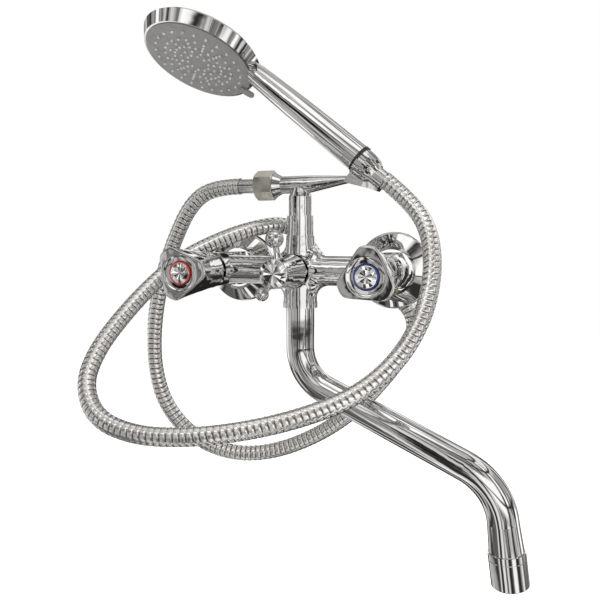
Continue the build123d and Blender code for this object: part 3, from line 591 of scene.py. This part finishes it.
def on_three_sides(piece, test, change):
    """Change the vertices that pass a test, at each side in turn, by turning the piece between changes."""
    for side in range(HANDLE_SIDES):
        select_where(piece, test)
        change()
        bpy.ops.mesh.select_all(action="SELECT")
        bpy.ops.transform.rotate(
            value=math.radians(360 / HANDLE_SIDES), orient_axis="Z", center_override=(0, 0, 0),
        )
        bpy.ops.object.mode_set(mode="OBJECT")


def press_flats(piece, low, high, distance):
    """Press the turned shape flat at a distance from its axis, between two heights."""
    on_three_sides(
        piece, lambda at: low < at.z < high and at.x > distance,
        lambda: bpy.ops.transform.resize(value=(0, 1, 1), center_override=(distance * MM, 0, 0)),
    )


def in_hollow(at):
    """Whether a place on the handle is in the hollow of the flat that faces X."""
    on_flat = at.x > HANDLE_FLAT - 0.2 and abs(at.y) < HOLLOW_HALF_WIDTH
    return on_flat and HOLLOW_LOW < at.z < HOLLOW_HIGH


def handle_shape(name):
    """Handle about Z with its corners at 60, 180 and 300 degrees."""
    flare = []
    for row in range(1, FLARE_ROWS + 1):
        t = row / FLARE_LENGTH_ROWS
        flare.append((FLARE_R + FLARE_SLOPE * t + FLARE_BEND * t * t, HANDLE_BACK + HANDLE_LENGTH * t))
    # From the socket's floor over the back rim, along the flare, over the front and into the jewel's seat
    profile = [
        (0, 93.5), (13.8, 93.5), (13.9, 92.5), (13.9, 76.6), (14.2, 76.0), (15.7, 76.0), (16.1, 76.5),
        *flare, (22.9, 121.0), (22.2, 121.9), (20.8, 122.05), (14.7, 122.0), (14.2, 121.7), (13.2, 121.1),
        (11.4, 120.6), (10.1, 120.4), (9.62, 120.2), (9.62, 119.6), (9.62, 117.9), (9.2, 117.6), (0, 117.6),
    ]
    piece = lathe(name, profile, segments=24)
    for low, high, nearer in FLAT_ROWS:
        press_flats(piece, low, high, HANDLE_FLAT - nearer)
    on_three_sides(
        piece, in_hollow, lambda: bpy.ops.transform.translate(value=(-HOLLOW_DEPTH * MM, 0, 0)),
    )
    modifier = piece.modifiers.new("round", "SUBSURF")
    modifier.levels = HANDLE_ROUNDING
    modifier.render_levels = HANDLE_ROUNDING
    apply_modifiers(piece)
    smooth(piece, HANDLE_SMOOTH_ANGLE)
    return piece


def faceted_button(name, rim_r, rim_low, rim_high, ridge_r, ridge, valley, centre, rays):
    """Button whose front is cut into rays that rise and fall in turn."""
    piece = lathe(name, [
        (0, rim_low), (rim_r - 0.4, rim_low), (rim_r, rim_low + 0.4), (rim_r, rim_high - 0.3),
        (rim_r - 0.35, rim_high), (ridge_r, ridge), (0, centre),
    ], segments=2 * rays)
    turn = math.pi / rays
    select_where(piece, lambda at: (
        abs(at.z - ridge) < 0.01 and round(math.atan2(at.y, at.x) / turn) % 2 == 1
    ))
    bpy.ops.transform.translate(value=(0, 0, (valley - ridge) * MM))
    bpy.ops.object.mode_set(mode="OBJECT")
    bevel(piece, BUTTON_EDGE * MM, segments=2, angle=BUTTON_EDGE_ANGLE)
    return piece


def jewel_shape(name):
    """Jewel at the front of a handle."""
    return faceted_button(
        name, rim_r=8.25, rim_low=118.0, rim_high=121.7, ridge_r=5.0, ridge=122.7, valley=121.9,
        centre=121.6, rays=9,
    )


def cap_shape(name):
    """Cap at the front of the diverter's hub."""
    return faceted_button(
        name, rim_r=11.6, rim_low=108.05, rim_high=110.9, ridge_r=7.4, ridge=112.9, valley=111.9,
        centre=112.2, rays=10,
    )


def on_axis(x, turned):
    """Place on a tap's axis: Z of the shape towards the front, turned about it in degrees."""
    forward = Matrix.Rotation(math.radians(90), 4, "X")
    turn = Matrix.Rotation(math.radians(turned), 4, "Z")
    return Matrix.Translation((x * MM, 0, TAP_HEIGHT * MM)) @ forward @ turn


# Name, shape, place along X, turn about its own axis, finish, body, slot and the node that it stands for
fronts = (
    ("hot_grip", handle_shape, -TAP_X, -52, "cast_chrome", "hot_tap", "chrome", "hot_handle"),
    ("cold_grip", handle_shape, TAP_X, 27, "cast_chrome", "cold_tap", "chrome", "cold_handle"),
    ("hot_button", jewel_shape, -TAP_X, 12, "mirrored_jewel", "hot_tap", "clear_plastic", "hot_jewel"),
    ("cold_button", jewel_shape, TAP_X, 3, "mirrored_jewel", "cold_tap", "clear_plastic", "cold_jewel"),
    ("cap_button", cap_shape, 0, 7, "cast_chrome", "diverter", "chrome", "diverter_cap"),
)
for front_name, shape, x, turned, look, body, slot, node_name in fronts:
    front = shape(front_name)
    put(front, on_axis(x, turned))
    add(paint(front, finish[look]), body, slot, node_name)


# ---- Small vent in the rim of the hand shower ----

VENT_PLACE = Vector((-41.23, -72.81, 179.35)) * MM
VENT_OUT = Vector((0.831, -0.379, -0.407))
VENT_PROFILE = (
    (0, -1.4), (1.55, -1.4), (1.65, -0.2), (1.8, 0.15), (2.15, 0.15), (2.3, -0.1), (2.3, -1.8), (0, -1.8),
)

vent = lathe("rim_vent", VENT_PROFILE, segments=40)
put(vent, facing(VENT_PLACE, VENT_OUT))
smooth(vent)
# The vent's hollow is black rubber, as painted shade for the dark inside of the hole
add(paint(vent, finish["rubber"]), "hand_shower", "rubber")


# ---- Six small holes of the spray face ----

FACE_MIDDLE = Vector((-88.95, -60.59, 181.11)) * MM
FACE_OUT = Vector((-0.1848, -0.3935, -0.9006)).normalized()
FACE_HOLE_RING = 31.0 * MM
FACE_HOLE_RAYS = (6, 68, 130, 188, 250, 308)
FACE_HOLE_PROFILE = (
    (0, -0.2), (0.36, -0.2), (0.40, 0.02), (0.52, 0.06), (0.62, -0.02), (0.62, -0.5), (0, -0.5),
)


def spray_holes():
    """Small holes between the nozzles, on one ring: shallow dimples in black rubber, which is painted shade
    for the depth of the holes.
    """
    for count, ray in enumerate(FACE_HOLE_RAYS, 1):
        hole = lathe(f"spray_hole_{count}", FACE_HOLE_PROFILE, segments=20)
        angle = math.radians(ray)
        at = Vector((math.cos(angle), math.sin(angle), 0)) * FACE_HOLE_RING
        put(hole, facing(FACE_MIDDLE, FACE_OUT) @ Matrix.Translation(at))
        smooth(hole)
        add(paint(hole, finish["rubber"]), "spray_face", "rubber")


spray_holes()


# ---- Light, floor and reflection tent ----

WORLD_LIGHT = 0.45
FLOOR_HEIGHT = -0.62
FLOOR_R = 4.0
FLOOR_GLOW = 0.62

# Name, place, size and power
LAMPS = (
    ("key lamp", (-0.9, -1.3, 1.5), (0.9, 0.9), 26),
    ("fill lamp", (1.3, -1.2, 0.9), (0.8, 1.2), 14),
    ("top lamp", (0.2, -0.3, 1.7), (1.0, 0.6), 14),
)


def make_world():
    """White background, which gives less light than it shows."""
    world = bpy.data.worlds.new("studio")
    world.use_nodes = True
    bpy.context.scene.world = world
    tree = world.node_tree
    background = tree.nodes["Background"]
    background.inputs["Color"].default_value = (1, 1, 1, 1)
    rays = tree.nodes.new("ShaderNodeLightPath")
    seen = calculate(tree, "MAXIMUM", rays.outputs["Is Camera Ray"], rays.outputs["Is Glossy Ray"])
    seen = calculate(tree, "MAXIMUM", seen, rays.outputs["Is Transmission Ray"])
    tree.links.new(spread(tree, seen, WORLD_LIGHT, 1, 0, 1), background.inputs["Strength"])


def make_lamp(name, place, size, power):
    """Area lamp that faces the origin and isn't seen in the chrome."""
    data = bpy.data.lights.new(name, "AREA")
    data.shape = "RECTANGLE"
    data.size, data.size_y = size
    data.energy = power
    lamp = bpy.data.objects.new(name, data)
    lamp.location = place
    lamp.rotation_mode = "QUATERNION"
    lamp.rotation_quaternion = (-Vector(place)).to_track_quat("-Z", "Y")
    lamp.visible_glossy = False
    bpy.context.scene.collection.objects.link(lamp)


def box_of_light(tree, azimuth, elevation, box, soft):
    """1 inside a box of azimuth and elevation in degrees, falling to 0 over its soft edge."""
    inside = 1.0
    for value, low, high in ((azimuth, box[0], box[1]), (elevation, box[2], box[3])):
        for start, end in ((low - soft, low + soft), (high + soft, high - soft)):
            edge = spread(tree, value, 0, 1, start, end, "SMOOTHSTEP")
            inside = calculate(tree, "MULTIPLY", inside, edge)
    return inside


# Least and greatest azimuth from the front towards the right, least and greatest elevation, softness of the
# edge, all in degrees, and brightness. The order counts, because each box covers those before it.
tent_boxes = (
    ((-180, 180, -90, -30), 8, 0.14),
    ((-180, 180, 48, 90), 9, 0.55),
    ((-112, -50, -26, -8), 4, 0.62),
    ((-140, -30, -64, -50), 4, 0.55),
    ((-108, -94, -24, -8), 3, 1.7),
    ((20, 56, -22, 10), 4, 1.3),
    ((-25, 2, 28, 50), 4, 1.5),
    ((10, 60, 52, 78), 6, 1.5),
    ((65, 150, 20, 44), 5, 1.0),
    ((60, 115, -2, 16), 3, 0.42),
    ((66, 72, -14, 44), 2, 1.5),
    ((-70, -64, -8, 50), 2, 1.5),
    ((-180, 150, 62, 70), 4, 1.3),
    ((-34, 44, 79, 84), 3, 0.10),
    ((-42, -18, 6, 19), 3, 0.012),
    ((-19, -5, -14, 5), 3, 0.46),
    ((-3, 3, -30, 5), 1.5, 0.03),
    ((-180, 180, 24, 28), 1.5, 0.04),
    ((-180, 180, 44, 48), 2, 0.04),
    ((-60, 180, -14, -11), 1.5, 0.05),
    ((-180, -20, -32, -28), 1.5, 0.05),
    ((-180, 180, -70, -65), 2, 0.04),
    ((10, 15, -28, 16), 1.5, 0.03),
    ((84, 100, -23, -9), 3, 0.05),
    ((100, 112, -31, -18), 2, 1.6),
    ((76, 81, -18, 40), 1.5, 0.05),
    ((116, 122, -10, 16), 2, 0.06),
    ((128, 134, -24, 46), 2, 1.3),
    ((140, 152, -24, 18), 2, 0.06),
    ((158, 180, -26, 0), 3, 0.03),
    ((-176, -150, -62, 34), 2, 0.02),
    ((160, 180, 4, 30), 3, 1.2),
    ((-147, -140, -18, 44), 2, 1.3),
    ((-138, -130, -12, 40), 2, 0.05),
    ((-128, -118, -6, 34), 2, 0.10),
    ((-90, -82, 0, 40), 2, 0.05),
    ((-58, -53, 2, 34), 1.5, 0.08),
    ((-110, -30, -57, -49), 3, 0.05),
    ((-30, 8, -50, -44), 3, 0.10),
    ((-26, 12, -36, -31), 2, 0.12),
    ((76, 140, -46, -39), 3, 0.6),
    ((-24, -15, -62, -27), 2, 0.9),
    ((-12, -4, -62, -30), 2, 0.03),
    ((0, 12, -62, -27), 2, 1.0),
    ((20, 27, -62, -29), 2, 0.9),
    ((30, 38, -62, -29), 1.5, 0.03),
    ((44, 58, -60, -27), 2, 1.2),
    ((62, 72, -60, -26), 2, 0.04),
    ((78, 86, -60, -26), 2, 1.0),
    ((-40, -18, -84, -62), 3, 1.2),
    ((2, 16, -84, -62), 3, 0.03),
    ((30, 46, -84, -61), 3, 1.1),
    ((62, 78, -84, -61), 3, 0.03),
    ((92, 110, -84, -50), 3, 1.1),
    ((130, 150, -84, -50), 3, 0.03),
    ((-80, -62, -84, -62), 3, 0.03),
    ((-120, -98, -84, -62), 3, 1.1),
    ((-150, -136, -60, -30), 3, 0.9),
    ((-126, -112, -48, -30), 3, 0.03),
    ((-84, -72, -48, -28), 2, 1.0),
    ((-60, -50, -46, -28), 2, 0.04),
    ((-62, -46, 66, 80), 3, 0.04),
    ((60, 78, 64, 80), 3, 0.05),
    ((110, 128, 50, 76), 3, 0.05),
    ((-128, -110, 48, 76), 3, 0.05),
    ((-8, 4, 6, 24), 2, 0.9),
)
TENT_R = 0.66
TENT_COLOUR = (1.0, 0.985, 0.96, 1)

# Streaks of light and dark round the tent: how many in a degree, darkest and brightest, and the part of the
# noise that is spread between those two
STREAK_SCALE = 0.09
STREAK_DARK, STREAK_BRIGHT = 0.015, 0.84
STREAK_START, STREAK_END = 0.40, 0.60


def make_tent():
    """Grey studio tent with windows of light and dark boards, which shows only as a reflection."""
    deselect()
    bpy.ops.mesh.primitive_uv_sphere_add(segments=64, ring_count=32, radius=TENT_R)
    tent = bpy.context.object
    tent.name = "studio_tent"
    material = bpy.data.materials.new("studio tent")
    material.use_nodes = True
    tree = material.node_tree
    tree.nodes.clear()
    place = tree.nodes.new("ShaderNodeTexCoord")
    apart = tree.nodes.new("ShaderNodeSeparateXYZ")
    tree.links.new(place.outputs["Object"], apart.inputs["Vector"])
    back = calculate(tree, "MULTIPLY", apart.outputs["Y"], -1.0)
    azimuth = calculate(tree, "DEGREES", calculate(tree, "ARCTAN2", apart.outputs["X"], back))
    height = calculate(tree, "DIVIDE", apart.outputs["Z"], TENT_R)
    elevation = calculate(tree, "DEGREES", calculate(tree, "ARCSINE", height))
    streaks = tree.nodes.new("ShaderNodeTexNoise")
    streaks.noise_dimensions = "1D"
    streaks.inputs["Scale"].default_value = STREAK_SCALE
    streaks.inputs["Detail"].default_value = STREAK_DETAIL
    tree.links.new(azimuth, streaks.inputs["W"])
    level = spread(tree, streaks.outputs["Fac"], STREAK_DARK, STREAK_BRIGHT, STREAK_START, STREAK_END)
    for box, soft, brightness in tent_boxes:
        inside = box_of_light(tree, azimuth, elevation, box, soft)
        level = mixed(tree, "FLOAT", inside, level, brightness)
    glow = tree.nodes.new("ShaderNodeEmission")
    glow.inputs["Color"].default_value = TENT_COLOUR
    tree.links.new(level, glow.inputs["Strength"])
    output = tree.nodes.new("ShaderNodeOutputMaterial")
    tree.links.new(glow.outputs["Emission"], output.inputs["Surface"])
    paint(tent, material)
    tent.visible_camera = False
    tent.visible_diffuse = False
    tent.visible_shadow = False
    tent.visible_transmission = False


def make_floor():
    """Floor far below the part, which glows a little where the camera sees it."""
    deselect()
    bpy.ops.mesh.primitive_circle_add(
        vertices=64, radius=FLOOR_R, fill_type="NGON", location=(0, 0, FLOOR_HEIGHT),
    )
    floor = bpy.context.object
    floor.name = "floor"
    material, tree, shader = new_material("floor")
    shader.inputs["Base Color"].default_value = (0.93, 0.93, 0.93, 1)
    shader.inputs["Roughness"].default_value = 0.9
    shader.inputs["Emission Color"].default_value = (1, 1, 1, 1)
    rays = tree.nodes.new("ShaderNodeLightPath")
    glow = calculate(tree, "MULTIPLY", rays.outputs["Is Camera Ray"], FLOOR_GLOW)
    tree.links.new(glow, shader.inputs["Emission Strength"])
    paint(floor, material)
    floor.visible_glossy = False


bpy.context.scene.view_settings.view_transform = "Standard"
make_world()
make_floor()
for lamp in LAMPS:
    make_lamp(*lamp)
make_tent()
